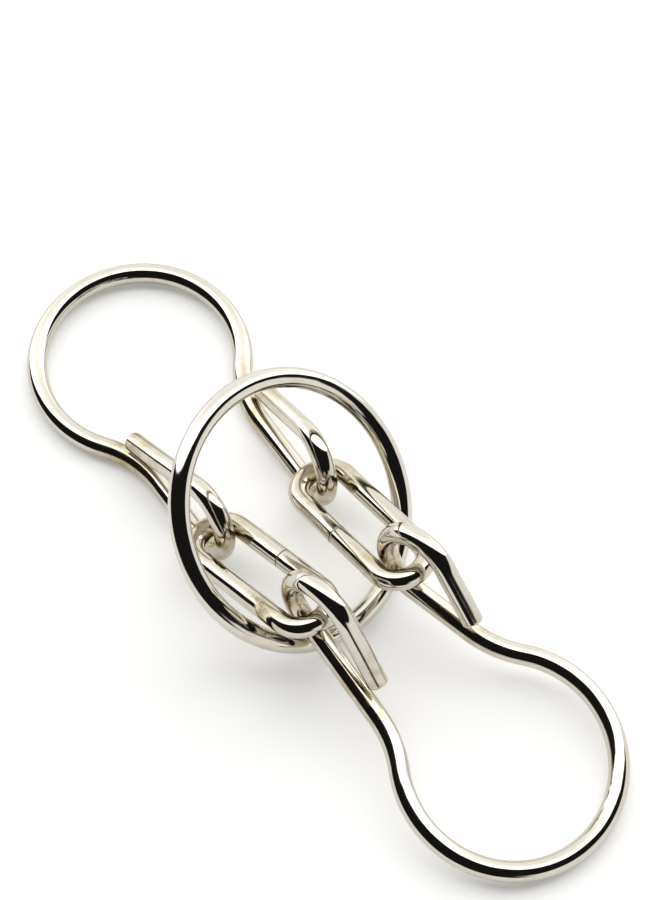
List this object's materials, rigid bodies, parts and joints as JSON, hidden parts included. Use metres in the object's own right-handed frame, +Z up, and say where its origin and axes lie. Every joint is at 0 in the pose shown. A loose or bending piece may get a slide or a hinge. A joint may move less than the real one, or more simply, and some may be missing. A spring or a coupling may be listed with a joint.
{
  "type": "metal ring disentanglement puzzle",
  "caption": "Wire disentanglement puzzle: horseshoes with curled eyes joined by long oval links, with a captive ring round the links.",
  "frame": {"origin": "on the surface the puzzle lies on, under the middle of its bounding box", "axes": "+X along horseshoe_b towards its bow, +Z up, +Y to the left looking along +X"},
  "size_m": [0.1534, 0.055, 0.0356],
  "materials": {
    "horseshoe_b": "polished nickel plate on round steel wire",
    "link_right": "polished nickel plate, butt seam left showing",
    "link_left": "polished nickel plate, butt seam left showing",
    "horseshoe_a": "polished nickel plate on round steel wire",
    "ring": "polished nickel plate on round steel wire"
  },
  "bodies": {
    "horseshoe_b": {"horseshoe_b": "horseshoe_b"},
    "link_right": {"link_right": "link_right"},
    "link_left": {"link_left": "link_left"},
    "horseshoe_a": {"horseshoe_a": "horseshoe_a"},
    "ring": {"ring": "ring"}
  },
  "joints": [
    {"name": "left_link_pivot", "type": "hinge", "parent": "horseshoe_b", "child": "link_left", "pos_m": [0.01543, -0.01376, 0.01903], "axis": [0.2785, 0.9593, -0.0471], "range_deg": [0, 45]},
    {"name": "right_link_pivot", "type": "hinge", "parent": "horseshoe_b", "child": "link_right", "pos_m": [0.02089, 0.00504, 0.0181], "axis": [0.2785, 0.9593, -0.0471], "range_deg": [0, 45]},
    {"name": "horseshoe_a_pivot", "type": "hinge", "parent": "link_left", "child": "horseshoe_a", "pos_m": [-0.01672, -0.01296, 0.0074], "axis": [-0.235, -0.972, 0], "range_deg": [0, 60]},
    {"name": "ring_tilt", "type": "hinge", "parent": "link_left", "child": "ring", "pos_m": [-0.00418, -0.00141, 0.01782], "axis": [-0.2689, 0.9632, 0], "range_deg": [0, 45]}
  ],
  "couplings": [
    {"joint": "right_link_pivot", "follows": "left_link_pivot", "ratio": 1}
  ]
}
